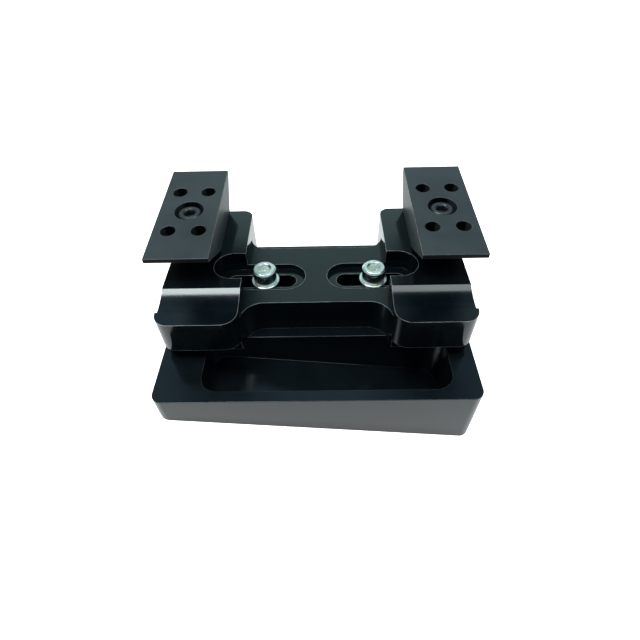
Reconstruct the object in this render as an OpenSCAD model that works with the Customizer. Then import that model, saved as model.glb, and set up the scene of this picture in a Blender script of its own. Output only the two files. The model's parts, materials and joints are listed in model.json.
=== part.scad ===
// Adjustable mounting block: a wedge base, a saddle that slides along its sloping top,
// and two pads on the saddle's wings. Every piece is machined metal or a standard screw.
// Lengths are in millimetres. The origin is the centre of the base's underside, +Z is up,
// +X runs towards the thick end of the wedge and +Y from the front to the back.

/* [Base wedge] */
// Length of the base along the slope
base_len = 168; // [160:1:200]
// Depth of the base, front to back
base_depth = 123.6; // [112:0.2:140]
// Thickness at mid length, square to the sloping top
base_mid_thick = 27.3; // [26:0.5:34]
// Slope of the top face in degrees
wedge_angle = 7.5; // [4:0.5:8]
// Radius of the upright corners
base_corner_r = 6; // [2:0.5:10]
// Left end of the lightening pocket, from mid length
pocket_left = 60.3; // [45:1:60.3]
// Right end of the lightening pocket, from mid length
pocket_right = 70.2; // [45:1:72]
// Front edge of the pocket, behind the base's front face
pocket_front = 6.5; // [4:0.5:12]
// Back edge of the pocket, behind the base's front face
pocket_back = 42.2; // [36:0.5:44]
// Radius of the pocket's upright corners
pocket_r = 9.5; // [4:0.5:12]
// Thickness of the floor under the pocket
pocket_floor = 3.8; // [2:0.2:6]

/* [Saddle] */
// Overall length of the saddle along the slope
saddle_len = 165.4; // [162:0.2:167]
// Front of the saddle, behind the base's front face
saddle_front = 28.1; // [26:0.1:30]
// Gap between the inner faces of the two wings
wing_gap = 80; // [76:1:84]
// Height of the wings above the base
wing_h = 29.4; // [27:0.2:34]
// Corner radius at the front of each wing
wing_front_r = 8.5; // [4:0.5:12]
// Corner radius at the back of each wing
wing_back_r = 6; // [3:0.5:10]
// Where the level shelf of a wing ends and its heel begins to fall away
heel_line = 97; // [90:0.5:110]
// Fall of the heel behind that line, in degrees
heel_angle = 1; // [0.5:0.5:4]
// Height of the bridge between the wings
bridge_h = 20.8; // [18:0.2:24]
// Front wall of the bridge
bridge_front = 48.7; // [46:0.5:52]
// Back wall of the bridge
bridge_back = 95; // [88:0.5:100]
// Fillet radius between the bridge's front wall and the wings
bridge_front_r = 12; // [4:0.5:14]
// Fillet radius between the bridge's back wall and the wings
bridge_back_r = 10; // [4:0.5:14]

/* [Wing fronts] */
// Where the hollow ramp meets the shelf, behind the base's front face
ramp_top = 51.6; // [49:0.2:54]
// Where the hollow ramp runs out into the level land along the front
ramp_foot = 38.3; // [37.5:0.1:40]
// Depth of the land below the shelf
land_drop = 3.1; // [1:0.1:3.4]
// Line behind which the outer side of a wing is set in
side_step_line = 37.3; // [36:0.1:38]
// How far the outer side is set in behind that line
side_step = 1.2; // [0.4:0.1:2]
// Height of the relief under the front of a wing
toe_h = 6.5; // [2:0.5:10]
// Depth of that relief, front to back
toe_depth = 5.8; // [2:0.1:7]

/* [Slots and clamp screws] */
// Centre line of both slots, behind the base's front face
slot_line = 69.7; // [66:0.1:73]
// Inner end centre of each slot, from the saddle's middle
slot_inner = 16.6; // [14:0.2:20]
// Outer end centre of each slot, from the saddle's middle
slot_outer = 46; // [42:0.5:46]
// Width of the slot that the screw passes through
slot_w = 10.3; // [9:0.1:12]
// Width of the recessed part of the slot
slot_recess_w = 21; // [17:0.2:22]
// Depth of the recessed part below the bridge top
slot_recess = 3.6; // [2:0.1:5]
// Half the distance between the two clamp screws
clamp_half_span = 30.7; // [28:0.1:34]
// Middle of the two clamp screws, from the saddle's middle at rest
clamp_mid = 1.7; // [-3:0.1:3]

/* [Pads] */
// Width of a pad
pad_w = 34; // [30:0.5:38]
// Length of a pad's top face
pad_len = 80; // [70:1:90]
// Thickness of a pad at its screw
pad_thick = 18.2; // [15:0.2:22]
// Tilt of a pad's top face in degrees, rising to the back
pad_tilt = 3.2; // [0:0.2:5]
// Thickness of the thin front and back ends of a pad
pad_end_thick = 2.6; // [1.5:0.1:6]
// Length of the foot in front of the screw
pad_foot_front = 13.5; // [12:0.5:20]
// Length of the foot behind the screw
pad_foot_back = 24; // [12:0.5:30]
// Distance of each pad's centre line from the saddle's middle
pad_offset = 71.5; // [68:0.5:74]
// Position of the pad screws, behind the base's front face
pad_screw_line = 96.5; // [92:0.5:102]
// Distance between the small holes across a pad
hole_pitch_across = 16.7; // [14:0.1:18]
// Distance between the small holes along a pad
hole_pitch_along = 35.2; // [30:0.2:40]
// Diameter of the small blind holes in a pad
hole_d = 8.4; // [4:0.1:9]
// Depth of the small blind holes, square to the pad's top face
hole_depth = 11.5; // [6:0.5:12]
// Diameter of the recess for the pad screw's head
head_recess_d = 16.4; // [14:0.1:18]
// How far the pad screw's head sits below the pad's top face
head_sunk = 1.2; // [0.4:0.1:3]

/* [Fasteners] */
// Thread diameter of all four screws
screw_d = 8; // [8:1:8]
// Diameter of a screw head
head_d = 13; // [12:0.1:13.3]
// Height of a screw head
head_h = 8; // [6:0.2:8]
// Width across flats of the hexagon socket
socket_af = 6; // [4:0.5:7]
// Diameter of the socket's bevelled mouth
socket_mouth_d = 7.9; // [7:0.1:9]
// Depth of the hexagon socket
socket_depth = 4.2; // [2:0.1:5]
// Length of a clamp screw under its head
clamp_screw_len = 30; // [28:1:32]
// Length of a pad screw under its head
pad_screw_len = 22; // [20:1:24]
// Outer diameter of a clamp washer
washer_d = 16; // [15:0.5:20]
// Thickness of a clamp washer
washer_t = 1.6; // [1:0.1:2.5]
// Outer diameter of a thread insert
insert_d = 10; // [9.5:0.1:11]
// Length of a thread insert
insert_len = 12; // [8:0.5:12]

/* [Hidden] */
// Circle resolution
$fn = 96;
// Play left between faces that slide or turn on each other
play = 0.05;
// Overlap that keeps cuts clear of the faces they pass through
cut = 1;
// Height that every cutter clears
far = 100;
// Hexagon socket's corner-to-corner diameter
socket_corner_d = socket_af / cos(30);
// Bevels on screw heads, washers and inserts
head_bevel = 0.8;
washer_bevel = 0.3;
tip_bevel = 1;
// Clearance bore of a washer and of a pad's screw hole
clearance_d = screw_d + 0.8;
// Back of the saddle, just inside the base's back face
back_margin = 0.2;
saddle_back = base_depth - back_margin;
// Levels of the slots' recessed floor and of the clamp washers above the sloping top
slot_floor = bridge_h - slot_recess;
clamp_seat = slot_floor + play;
// Depth from a part's face to the top of its thread insert, and blind depth past its end
insert_sink = 1;
insert_runout = 3;
// Radius of the hollow ramp, tangent to the land and ending at the shelf's edge
ramp_run = ramp_top - ramp_foot;
ramp_r = (ramp_run * ramp_run + land_drop * land_drop) / (2 * land_drop);
// Height of the recess floor for the pad screw's head, above the pad's foot
head_seat = pad_thick - head_sunk - head_h;

// Moves children from the slope frame, whose XY plane is the base's sloping top and whose
// Y starts at the base's front face, to the part's own frame.
module on_slope() {
    rotate([0, -wedge_angle, 0])
        translate([0, -base_depth / 2, base_mid_thick])
            children();
}

// Puts children on a clamp screw's axis; side is -1 for the left one and 1 for the right.
module at_clamp(side) {
    on_slope()
        translate([clamp_mid + side * clamp_half_span, slot_line, 0])
            children();
}

// Puts children of the slope frame where a pad's screw axis meets its wing's shelf.
module at_pad(side) {
    translate([side * pad_offset, pad_screw_line, wing_h])
        children();
}

// Upright slab from (x0, y0) to (x1, y1) with its own radius at each end of Y.
module slab(x0, x1, y0, y1, h, front_r, back_r) {
    translate([x0, y0 + front_r, 0])
        cube([x1 - x0, y1 - y0 - front_r - back_r, h]);
    translate([x0 + front_r, y0, 0])
        cube([x1 - x0 - 2 * front_r, front_r + cut, h]);
    translate([x0 + back_r, y1 - back_r - cut, 0])
        cube([x1 - x0 - 2 * back_r, back_r + cut, h]);
    for (x = [x0 + front_r, x1 - front_r])
        translate([x, y0 + front_r, 0]) cylinder(r = front_r, h = h);
    for (x = [x0 + back_r, x1 - back_r])
        translate([x, y1 - back_r, 0]) cylinder(r = back_r, h = h);
}

// Slot-shaped cutter along X between two end centres, from height z0 upwards.
module slot_cutter(x0, x1, w, z0, h) {
    translate([x0, slot_line - w / 2, z0]) cube([x1 - x0, w, h]);
    for (x = [x0, x1])
        translate([x, slot_line, z0]) cylinder(d = w, h = h);
}

// Long cylinder along X, centred on the saddle.
module rod_x(y, z, r) {
    translate([-far, y, z]) rotate([0, 90, 0]) cylinder(r = r, h = 2 * far);
}

// Cap screw with its head resting on z = 0 and its hexagon socket facing up.
module cap_screw(length) {
    mouth_depth = (socket_mouth_d - socket_af) / 2;
    difference() {
        rotate_extrude()
            polygon([[0, -length],
                     [screw_d / 2 - tip_bevel, -length],
                     [screw_d / 2, tip_bevel - length],
                     [screw_d / 2, 0],
                     [head_d / 2, 0],
                     [head_d / 2, head_h - head_bevel],
                     [head_d / 2 - head_bevel, head_h],
                     [0, head_h]]);
        translate([0, 0, head_h - socket_depth])
            cylinder(d = socket_corner_d, h = socket_depth + cut, $fn = 6);
        translate([0, 0, head_h - mouth_depth])
            cylinder(d1 = socket_af, d2 = socket_mouth_d + 2 * cut, h = mouth_depth + cut);
    }
}

// Flat washer with bevelled rims, lying on z = 0.
module washer() {
    rotate_extrude()
        polygon([[clearance_d / 2, 0],
                 [washer_d / 2 - washer_bevel, 0],
                 [washer_d / 2, washer_bevel],
                 [washer_d / 2, washer_t - washer_bevel],
                 [washer_d / 2 - washer_bevel, washer_t],
                 [clearance_d / 2, washer_t]]);
}

// Thread insert whose top is insert_sink below z = 0, around a screw's thread.
module thread_insert() {
    translate([0, 0, -insert_sink - insert_len])
        difference() {
            cylinder(d = insert_d, h = insert_len);
            translate([0, 0, -cut])
                cylinder(d = screw_d + 2 * play, h = insert_len + 2 * cut);
        }
}

// Blind hole that holds a thread insert, with room for the screw's tip below it.
module insert_hole() {
    translate([0, 0, -insert_sink - insert_len])
        cylinder(d = insert_d, h = insert_sink + insert_len + cut);
    translate([0, 0, -insert_sink - insert_len - insert_runout])
        cylinder(d = clearance_d, h = insert_runout + cut);
}

module base_wedge() {
    color([0.09, 0.1, 0.12])
        difference() {
            on_slope()
                translate([0, 0, -far])
                    slab(-base_len / 2, base_len / 2, 0, base_depth, far,
                         base_corner_r, base_corner_r);
            translate([-2 * far, -2 * far, -2 * far]) cube([4 * far, 4 * far, 2 * far]);
            pocket_cutter();
            for (side = [-1, 1]) at_clamp(side) insert_hole();
        }
}

// Pocket with upright walls and a floor parallel to the base's underside.
module pocket_cutter() {
    intersection() {
        on_slope()
            translate([0, 0, -far / 2])
                slab(-pocket_left, pocket_right, pocket_front, pocket_back, far,
                     pocket_r, pocket_r);
        translate([-2 * far, -2 * far, pocket_floor]) cube([4 * far, 4 * far, 2 * far]);
    }
}

module base_thread_inserts() {
    color("silver")
        for (side = [-1, 1]) at_clamp(side) thread_insert();
}

// One wing in the slope frame, on the +X side: broad above the toe relief at the front,
// with a falling heel at the back.
module wing() {
    difference() {
        union() {
            wing_slab(saddle_len / 2 - side_step);
            intersection() {
                wing_slab(saddle_len / 2);
                translate([0, 0, toe_h]) cube([far, side_step_line, far]);
            }
        }
        front_cutter();
        toe_cutter();
        translate([0, heel_line, wing_h]) rotate([-heel_angle, 0, 0]) cube([far, far, far]);
    }
}

// Plain block of a wing out to x1.
module wing_slab(x1) {
    slab(wing_gap / 2, x1, saddle_front, saddle_back, wing_h, wing_front_r, wing_back_r);
}

// Cutter for the lowered front of a wing: a level land, then a hollow ramp up to the shelf.
module front_cutter() {
    land_h = wing_h - land_drop;
    translate([0, 0, land_h]) cube([far, ramp_foot, far]);
    intersection() {
        rod_x(ramp_foot, land_h + ramp_r, ramp_r);
        translate([0, ramp_foot, 0]) cube([far, far, far]);
    }
}

// Cutter for the relief under the front of a wing.
module toe_cutter() {
    translate([0, saddle_front - cut, -cut]) cube([far, toe_depth + cut, toe_h + cut]);
}

// Bridge between the wings, with its corners filleted into them.
module bridge() {
    inner = wing_gap / 2;
    difference() {
        translate([-inner - cut, bridge_front - bridge_front_r, 0])
            cube([2 * inner + 2 * cut,
                  bridge_back + bridge_back_r - bridge_front + bridge_front_r, bridge_h]);
        translate([0, 0, -cut]) {
            slab(-inner, inner, bridge_front - far, bridge_front, far,
                 bridge_front_r, bridge_front_r);
            slab(-inner, inner, bridge_back, bridge_back + far, far,
                 bridge_back_r, bridge_back_r);
        }
    }
}

module saddle() {
    color([0.1, 0.11, 0.13])
        on_slope()
            translate([0, 0, play])
                difference() {
                    union() {
                        bridge();
                        wing();
                        mirror([1, 0, 0]) wing();
                    }
                    for (side = [0, 1])
                        mirror([side, 0, 0]) {
                            slot_cutter(slot_inner, slot_outer, slot_w, -cut, far);
                            slot_cutter(slot_inner, slot_outer, slot_recess_w, slot_floor, far);
                        }
                    for (side = [-1, 1]) at_pad(side) insert_hole();
                }
}

module wing_thread_insert(side) {
    color("silver")
        on_slope() translate([0, 0, play]) at_pad(side) thread_insert();
}

module left_wing_thread_insert() {
    wing_thread_insert(-1);
}

module right_wing_thread_insert() {
    wing_thread_insert(1);
}

module clamp_screw(side) {
    color([0.82, 0.84, 0.85])
        at_clamp(side)
            translate([0, 0, clamp_seat + play + washer_t]) cap_screw(clamp_screw_len);
}

module clamp_washer(side) {
    color([0.85, 0.86, 0.86])
        at_clamp(side)
            translate([0, 0, clamp_seat + play]) washer();
}

module left_clamp_screw() {
    clamp_screw(-1);
}

module left_clamp_washer() {
    clamp_washer(-1);
}

module right_clamp_screw() {
    clamp_screw(1);
}

module right_clamp_washer() {
    clamp_washer(1);
}

// Pad with a tilted top, a short flat foot and undercut ends, clamped by one sunk screw.
module pad(side) {
    half_len = pad_len * cos(pad_tilt) / 2;
    front_top = pad_thick - half_len * tan(pad_tilt);
    back_top = pad_thick + half_len * tan(pad_tilt);
    color([0.2, 0.21, 0.22])
        on_slope() at_pad(side)
            translate([0, 0, 2 * play])
                difference() {
                    translate([-pad_w / 2, 0, 0])
                        rotate([90, 0, 90])
                            linear_extrude(pad_w)
                                polygon([[-pad_foot_front, 0],
                                         [pad_foot_back, 0],
                                         [half_len, back_top - pad_end_thick],
                                         [half_len, back_top],
                                         [-half_len, front_top],
                                         [-half_len, front_top - pad_end_thick]]);
                    translate([0, 0, -cut]) cylinder(d = clearance_d, h = far);
                    translate([0, 0, head_seat]) cylinder(d = head_recess_d, h = far);
                    pad_hole_cutters();
                }
}

// The four small blind holes of a pad, drilled square to its tilted top face.
module pad_hole_cutters() {
    translate([0, 0, pad_thick])
        rotate([pad_tilt, 0, 0])
            for (x = [-0.5, 0.5], y = [-0.5, 0.5])
                translate([x * hole_pitch_across, y * hole_pitch_along, -hole_depth])
                    cylinder(d = hole_d, h = hole_depth + cut);
}

module pad_screw(side) {
    color([0.12, 0.12, 0.13])
        on_slope() at_pad(side)
            translate([0, 0, head_seat + 3 * play]) cap_screw(pad_screw_len);
}

module left_pad() {
    pad(-1);
}

module right_pad() {
    pad(1);
}

module left_pad_screw() {
    pad_screw(-1);
}

module right_pad_screw() {
    pad_screw(1);
}

base_wedge();
base_thread_inserts();
saddle();
left_wing_thread_insert();
right_wing_thread_insert();
left_clamp_screw();
left_clamp_washer();
right_clamp_screw();
right_clamp_washer();
left_pad();
right_pad();
left_pad_screw();
right_pad_screw();
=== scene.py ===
import json
import math

import bmesh
import bpy
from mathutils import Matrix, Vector


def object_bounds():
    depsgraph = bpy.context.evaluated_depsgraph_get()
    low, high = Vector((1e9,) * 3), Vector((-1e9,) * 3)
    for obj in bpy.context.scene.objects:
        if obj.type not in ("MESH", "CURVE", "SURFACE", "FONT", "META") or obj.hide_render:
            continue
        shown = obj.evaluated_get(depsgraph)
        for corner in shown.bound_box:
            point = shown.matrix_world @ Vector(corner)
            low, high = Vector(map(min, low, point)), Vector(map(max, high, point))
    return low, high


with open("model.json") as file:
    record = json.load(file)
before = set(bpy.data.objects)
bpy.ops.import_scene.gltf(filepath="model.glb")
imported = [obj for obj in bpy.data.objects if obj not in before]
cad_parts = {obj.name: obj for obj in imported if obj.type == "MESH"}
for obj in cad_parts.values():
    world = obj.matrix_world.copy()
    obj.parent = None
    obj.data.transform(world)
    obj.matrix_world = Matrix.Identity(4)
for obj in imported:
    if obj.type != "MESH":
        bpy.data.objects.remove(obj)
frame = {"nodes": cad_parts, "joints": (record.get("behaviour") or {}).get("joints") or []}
cad_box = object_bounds()

MM = 0.001

# SLOPE runs up the base's slope, along the saddle's slide. UP is square to the sloping faces.
SLIDE = next(joint for joint in frame["joints"] if joint["name"] == "saddle_slide")
SLOPE = Vector(SLIDE["axis"])
SLOPE_ANGLE = math.atan2(SLOPE.z, SLOPE.x)
UP = Vector((-SLOPE.z, 0, SLOPE.x))
BACK = (0, 1, 0)


# ---------------------------------------------------------------- shader graphs

NOISE_ROUGHNESS = 0.6

# The mix node's colour sockets, which share their names with its number and vector ones
MIX_SHARE, MIX_A, MIX_B, MIX_RESULT = 0, 6, 7, 2


class Graph:
    """A new material's or world's node tree, with short calls to add and join nodes."""

    def __init__(self, name, world=False):
        if world:
            owner = bpy.context.scene.world = bpy.data.worlds.new(name)
        else:
            owner = self.material = bpy.data.materials.new(name)
        owner.use_nodes = True
        self.tree = owner.node_tree
        self.tree.nodes.clear()
        self.output = self.add("ShaderNodeOutputWorld" if world else "ShaderNodeOutputMaterial")

    def add(self, kind, inputs=None, **settings):
        node = self.tree.nodes.new(kind)
        for key, value in settings.items():
            setattr(node, key, value)
        for key, value in (inputs or {}).items():
            self.put(node, key, value)
        return node

    def put(self, node, key, value):
        """Sets an input to a plain value, or joins it to another node's output."""
        if isinstance(value, bpy.types.NodeSocket):
            self.tree.links.new(value, node.inputs[key])
        else:
            node.inputs[key].default_value = value

    def surface(self, shader):
        self.put(self.output, "Surface", shader.outputs[0])

    def math(self, operation, a, b=0.0):
        return self.add("ShaderNodeMath", {0: a, 1: b}, operation=operation).outputs[0]

    def times(self, a, b):
        return self.math("MULTIPLY", a, b)

    def dot(self, a, b):
        node = self.add("ShaderNodeVectorMath", {0: a, 1: b}, operation="DOT_PRODUCT")
        return node.outputs["Value"]

    def span(self, value, low, high, to_low=0.0, to_high=1.0):
        """Maps low..high to to_low..to_high, and holds the ends beyond them."""
        keys = {"Value": value, "From Min": low, "From Max": high,
                "To Min": to_low, "To Max": to_high}
        return self.add("ShaderNodeMapRange", keys).outputs["Result"]

    def fade(self, value, low, high):
        """1 below low, 0 above high."""
        return self.span(value, low, high, 1.0, 0.0)

    def mix(self, share, a, b):
        """Colour a where share is 0, colour b where it is 1."""
        node = self.add("ShaderNodeMix", data_type="RGBA")
        self.put(node, MIX_SHARE, share)
        self.put(node, MIX_A, a)
        self.put(node, MIX_B, b)
        return node.outputs[MIX_RESULT]

    def noise(self, where, scale, detail=3.0, stretch=None):
        if stretch is not None:
            keys = {"Vector": where, "Scale": stretch}
            where = self.add("ShaderNodeMapping", keys).outputs[0]
        keys = {"Vector": where, "Scale": scale, "Detail": detail, "Roughness": NOISE_ROUGHNESS}
        return self.add("ShaderNodeTexNoise", keys).outputs[0]

    def normal(self):
        return self.add("ShaderNodeNewGeometry").outputs["Normal"]

    def camera_sees(self):
        """1 for a ray straight from the camera, 0 for a reflected or bounced one."""
        return self.add("ShaderNodeLightPath").outputs["Is Camera Ray"]


def slope_coordinates(g):
    """Object coordinates turned so that Z is square to the sloping faces."""
    where = g.add("ShaderNodeTexCoord").outputs["Object"]
    keys = {"Vector": where, "Rotation": (0, SLOPE_ANGLE, 0)}
    return g.add("ShaderNodeMapping", keys).outputs[0]


# ---------------------------------------------------------------- coats

EDGE_RADIUS = 0.4 * MM        # how far in from an edge the coat's rubbed wear and painted highlight reach
EDGE_TURN = (0.01, 0.12)      # 1 - cosine of the normal's turn at an edge, bare and with full wear and painted highlight
EDGE_AIR = (0.85, 0.97)       # open air round an inner edge and round an outward one
AIR_REACH = 2.5               # how far the air is tested, in edge radii

# Anodised coat. Scales count noise cells in a metre, and spans are the part of a noise in use.
CLOUD_SCALE = 38.0
CLOUD_SPAN = (0.35, 0.65)
CLOUD_SHARE = 0.2             # how far the dye strays either way from its colour
GRAIN_SCALE = 5200.0
GRAIN_HEIGHT = 0.2
STREAK_SCALE = 900.0
STREAK_STRETCH = (0.12, 1.0, 0.12)
STREAK_SMEAR = 0.4            # how much the cutter marks add to the roughness's pattern
WEAR_AND_HIGHLIGHT_SCALE = 240.0
WEAR_AND_HIGHLIGHT_SPAN = (0.35, 0.7)
WEAR_AND_HIGHLIGHT_LEAST = 0.2             # wear and painted highlight left on an edge where it is rubbed least
# Metal shown on the edges, whose pale mark is partly wear and partly a painted highlight
WEAR_AND_HIGHLIGHT_METAL = 0.9
SMEAR_SPAN = (0.4, 1.0)
COAT_ROUGH = (-0.04, 0.05)    # how far the roughness strays from its given value
COAT_BUMP = {"Strength": 0.35, "Distance": 0.012 * MM}
END_FACING = (0.7, 0.9)       # cosine of a face's turn from the front or back, side and end: where painted shade on the ends begins and where it is full

# Plated steel
PATCH_SCALE = 260.0
PATCH_SPAN = (0.38, 0.62)
TINT_SCALE = 120.0
TINT_SPAN = (0.4, 0.7)
TURNED_SCALE = 3000.0
TURNED_SPAN = (0.3, 0.7)
PLATE_ROUGH = (-0.05, 0.07)
PLATE_BUMP = {"Strength": 0.3, "Distance": 0.01 * MM}


def edge_mask(g):
    """1 on outward edges, 0 elsewhere: the bevel shader finds edges, occlusion drops inner ones."""
    bent = g.add("ShaderNodeBevel", {"Radius": EDGE_RADIUS}, samples=6).outputs[0]
    edge = g.span(g.math("SUBTRACT", 1.0, g.dot(bent, g.normal())), *EDGE_TURN)
    air = g.add("ShaderNodeAmbientOcclusion", {"Distance": AIR_REACH * EDGE_RADIUS},
                samples=8, only_local=True)
    return g.times(edge, g.span(air.outputs["AO"], *EDGE_AIR))


def strayed(value, strays):
    return [value + stray for stray in strays]


def scaled(colour, share):
    return [c * share for c in colour[:3]] + [1]


def anodised(name, colour, edge_wear_and_highlight, rough, gloss, milling, ends=1.0):
    """Black coat over fine cutter marks, its edges paler with wear and a painted highlight.

    rough is about the mean roughness and milling the height of the cutter marks. ends below 1
    paints shade on the faces that look straight to the front or back, darkening colour and gloss to
    that share.
    """
    g = Graph(name)
    where = slope_coordinates(g)
    cloud = g.noise(where, CLOUD_SCALE, detail=4.0)
    grain = g.noise(where, GRAIN_SCALE, detail=2.0)
    streaks = g.noise(where, STREAK_SCALE, detail=2.0, stretch=STREAK_STRETCH)
    tint = g.mix(g.span(cloud, *CLOUD_SPAN),
                 scaled(colour, 1 - CLOUD_SHARE), scaled(colour, 1 + CLOUD_SHARE))
    # Painted shade: faces that look straight to the front or back get a darker colour and less
    # gloss.
    if ends < 1.0:
        facing = g.math("ABSOLUTE", g.dot(g.normal(), BACK))
        shade = g.span(facing, *END_FACING, 1.0, ends)
        tint = g.mix(shade, (0, 0, 0, 1), tint)
        gloss = g.times(shade, gloss)
    # Outward edges get a pale colour and metal: partly rubbed wear, partly a painted highlight.
    patchy = g.span(g.noise(where, WEAR_AND_HIGHLIGHT_SCALE), *WEAR_AND_HIGHLIGHT_SPAN, WEAR_AND_HIGHLIGHT_LEAST, 1.0)
    wear_and_highlight = g.times(edge_mask(g), patchy)
    height = g.math("ADD", g.times(streaks, milling), g.times(grain, GRAIN_HEIGHT))
    bump = g.add("ShaderNodeBump", {**COAT_BUMP, "Height": height})
    smear = g.math("ADD", cloud, g.times(streaks, STREAK_SMEAR))
    g.surface(g.add("ShaderNodeBsdfPrincipled", {
        "Base Color": g.mix(wear_and_highlight, tint, edge_wear_and_highlight),
        "Roughness": g.span(smear, *SMEAR_SPAN, *strayed(rough, COAT_ROUGH)),
        "Specular IOR Level": gloss,
        "Metallic": g.times(wear_and_highlight, WEAR_AND_HIGHLIGHT_METAL),
        "Normal": bump.outputs[0],
    }))
    return g.material


def plated(name, colour, tints, rough):
    """Plated steel: bright metal with faint patches of colour and a fine turned grain."""
    g = Graph(name)
    where = slope_coordinates(g)
    patch = g.noise(where, PATCH_SCALE, detail=2.0)
    turned = g.noise(where, TURNED_SCALE, detail=2.0)
    tint = g.mix(g.span(patch, *PATCH_SPAN), *tints)
    tinted = g.span(g.noise(where, TINT_SCALE), *TINT_SPAN)
    bump = g.add("ShaderNodeBump", {**PLATE_BUMP, "Height": turned})
    g.surface(g.add("ShaderNodeBsdfPrincipled", {
        "Base Color": g.mix(tinted, colour, tint),
        "Metallic": 1.0,
        "Roughness": g.span(turned, *TURNED_SPAN, *strayed(rough, PLATE_ROUGH)),
        "Normal": bump.outputs[0],
    }))
    return g.material


# Edge colours are partly worn metal and partly painted highlight; the saddle's is near white for
# bright edge lines.
base_coat = anodised("base_anodised", colour=(0.0022, 0.0038, 0.005, 1),
                     edge_wear_and_highlight=(0.4, 0.39, 0.38, 1), rough=0.18, gloss=0.5, milling=0.8)
saddle_coat = anodised("saddle_anodised", colour=(0.0016, 0.003, 0.0038, 1),
                       edge_wear_and_highlight=(0.9, 0.9, 0.88, 1), rough=0.13, gloss=0.5, milling=0.6)
# The pads' front and back faces carry painted shade, set by ends.
pad_coat = anodised("pad_anodised", colour=(0.022, 0.024, 0.024, 1),
                    edge_wear_and_highlight=(0.5, 0.5, 0.5, 1), rough=0.42, gloss=0.5, milling=0.6, ends=0.15)
zinc = plated("zinc_plate", colour=(1.0, 0.95, 0.88, 1),
              tints=((0.7, 0.9, 0.82, 1), (0.98, 0.88, 0.6, 1)), rough=0.17)
black_steel = anodised("black_oxide", colour=(0.012, 0.012, 0.013, 1),
                       edge_wear_and_highlight=(0.2, 0.2, 0.2, 1), rough=0.32, gloss=0.6, milling=0.3)
insert_steel = plated("insert_steel", colour=(0.6, 0.6, 0.58, 1),
                      tints=((0.5, 0.5, 0.5, 1), (0.62, 0.6, 0.55, 1)), rough=0.3)


# ---------------------------------------------------------------- CAD nodes

WELD_DISTANCE = 2e-6
FLAT_ANGLE = math.radians(0.3)    # faces that meet flatter than this become one face
SHARP_ANGLE = math.radians(13)    # edges sharper than this are rolled over
ROLL_SEGMENTS = 3
LARGE_FACE_WEIGHT = 100           # keeps the flat faces flat beside their rolled edges

# Width of the roll along a sharp edge
BLOCK_ROLL = 0.35 * MM
PAD_ROLL = 0.3 * MM
STEEL_ROLL = 0.2 * MM
WASHER_ROLL = 0.12 * MM

LOOKS = {
    "base_wedge": (base_coat, BLOCK_ROLL),
    "base_thread_inserts": (insert_steel, STEEL_ROLL),
    "saddle": (saddle_coat, BLOCK_ROLL),
    "left_wing_thread_insert": (insert_steel, STEEL_ROLL),
    "right_wing_thread_insert": (insert_steel, STEEL_ROLL),
    "left_clamp_screw": (zinc, STEEL_ROLL),
    "right_clamp_screw": (zinc, STEEL_ROLL),
    "left_clamp_washer": (zinc, WASHER_ROLL),
    "right_clamp_washer": (zinc, WASHER_ROLL),
    "left_pad": (pad_coat, PAD_ROLL),
    "right_pad": (pad_coat, PAD_ROLL),
    "left_pad_screw": (black_steel, STEEL_ROLL),
    "right_pad_screw": (black_steel, STEEL_ROLL),
}


def finish_node(obj, material, roll):
    """Gives a CAD node its material and rolls its sharp edges over, as deburred metal."""
    mesh = obj.data
    for leftover in ("custom_normal", "sharp_edge", "sharp_face"):
        if leftover in mesh.attributes:
            mesh.attributes.remove(mesh.attributes[leftover])
    mesh.shade_smooth()
    mesh.materials.clear()
    mesh.materials.append(material)
    weld = obj.modifiers.new("weld", "WELD")
    weld.merge_threshold = WELD_DISTANCE
    plane = obj.modifiers.new("plane", "DECIMATE")
    plane.decimate_type = "DISSOLVE"
    plane.angle_limit = FLAT_ANGLE
    bevel = obj.modifiers.new("bevel", "BEVEL")
    bevel.width = roll
    bevel.segments = ROLL_SEGMENTS
    bevel.limit_method = "ANGLE"
    bevel.angle_limit = SHARP_ANGLE
    bevel.use_clamp_overlap = True
    bevel.miter_outer = "MITER_ARC"
    weighted = obj.modifiers.new("normals", "WEIGHTED_NORMAL")
    weighted.weight = LARGE_FACE_WEIGHT
    weighted.keep_sharp = True


for node_name, (coat, node_roll) in LOOKS.items():
    finish_node(frame["nodes"][node_name], coat, node_roll)


# ---------------------------------------------------------------- studio

FLOOR_SIZE = 8.0
FLOOR_SHADES = (0.84, 0.8, 0.77, 1), (0.88, 0.84, 0.81, 1)
FLOOR_GLOW = (1, 0.9, 0.85, 1)
GLOW_ON_OBJECT, GLOW_IN_VIEW = 0.45, 1.5

AIR_COLOUR = (0.24, 0.41, 0.54, 1)
WALL_COLOUR = (0.54, 0.8, 0.82, 1)
FLAG_COLOUR = (0.0, 0.01, 0.03, 1)
BACKDROP = (1, 1, 1, 1)

# Where the wall and its flags begin and end. Each is a soft edge between two cosines.
BEHIND = (0.0, 0.1)
WALL_SIDE = (0.3, 0.34)
WALL_TOP = (0.72, 0.82)
FLAG_INNER = (0.13, 0.17)
FLAG_OUTER = (0.29, 0.31)
FLAG_FOOT = (0.575, 0.615)

LAMP_COLOUR = (0.9, 1, 1)
LAMP_HEIGHT = 1.1
LAMP_Y = -0.08

CAMERA_PLACE = (-0.02381, -0.17965, 0.21504)
CAMERA_TURN = (42.396, -6.376, -0.071)    # degrees


def link(obj):
    bpy.context.scene.collection.objects.link(obj)
    return obj


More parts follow.
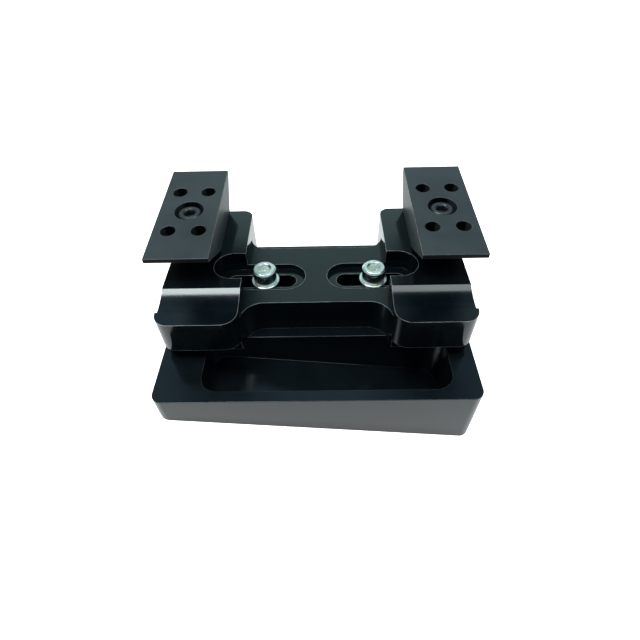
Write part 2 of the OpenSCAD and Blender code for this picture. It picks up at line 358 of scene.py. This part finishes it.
def floor():
    """A plain white table top, level with the base's underside."""
    mesh = bpy.data.meshes.new("floor")
    bm = bmesh.new()
    bmesh.ops.create_grid(bm, x_segments=1, y_segments=1, size=FLOOR_SIZE / 2)
    bm.to_mesh(mesh)
    bm.free()
    obj = link(bpy.data.objects.new("floor", mesh))
    obj.location.z = cad_box[0].z
    g = Graph("floor_white")
    where = g.add("ShaderNodeTexCoord").outputs["Object"]
    shade = g.mix(g.noise(where, 6.0), *FLOOR_SHADES)
    diffuse = g.add("ShaderNodeBsdfDiffuse", {"Color": shade})
    strength = g.span(g.camera_sees(), 0, 1, GLOW_ON_OBJECT, GLOW_IN_VIEW)
    glow = g.add("ShaderNodeEmission", {"Color": FLOOR_GLOW, "Strength": strength})
    g.surface(g.add("ShaderNodeAddShader", {0: diffuse.outputs[0], 1: glow.outputs[0]}))
    mesh.materials.append(g.material)


def overhead_lamp(name, x, width, depth, radiance):
    """A flat rectangular lamp that faces straight down."""
    light = bpy.data.lights.new(name, "AREA")
    light.shape = "RECTANGLE"
    light.size = width
    light.size_y = depth
    light.energy = math.pi * width * depth * radiance
    light.color = LAMP_COLOUR
    link(bpy.data.objects.new(name, light)).location = (x, LAMP_Y, LAMP_HEIGHT)


def room():
    """Dim bluish air, and a paler wall straight behind whose left and right parts are dark high up.

    across is how far a ray leans along the slope and rise how far it leans up from it, both as
    cosines. The camera itself sees only a plain white backdrop.
    """
    g = Graph("room", world=True)
    ray = g.add("ShaderNodeTexCoord").outputs["Generated"]
    across = g.math("ABSOLUTE", g.dot(ray, SLOPE))
    rise = g.dot(ray, UP)
    behind = g.span(g.dot(ray, BACK), *BEHIND)
    wall = g.times(g.fade(across, *WALL_SIDE), g.fade(rise, *WALL_TOP))
    flag = g.times(g.span(across, *FLAG_INNER), g.fade(across, *FLAG_OUTER))
    flag = g.times(flag, g.span(rise, *FLAG_FOOT))
    colour = g.mix(g.times(wall, behind), AIR_COLOUR, WALL_COLOUR)
    colour = g.mix(g.times(flag, behind), colour, FLAG_COLOUR)
    colour = g.mix(g.camera_sees(), colour, BACKDROP)
    g.surface(g.add("ShaderNodeBackground", {"Color": colour}))


def camera():
    """Looks down on the front of the block, from a little left of its middle."""
    data = bpy.data.cameras.new("camera")
    data.sensor_width = 36
    data.lens = 24.82
    data.shift_x = 0.0021
    data.clip_start = 0.01
    obj = link(bpy.data.objects.new("camera", data))
    obj.location = CAMERA_PLACE
    obj.rotation_euler = [math.radians(a) for a in CAMERA_TURN]
    bpy.context.scene.camera = obj


floor()
room()
overhead_lamp("overhead_left", x=-0.55, width=0.6, depth=0.4, radiance=16.0)
overhead_lamp("overhead_right", x=0.2, width=0.7, depth=0.4, radiance=5.0)
camera()
bpy.context.scene.view_settings.view_transform = "Standard"
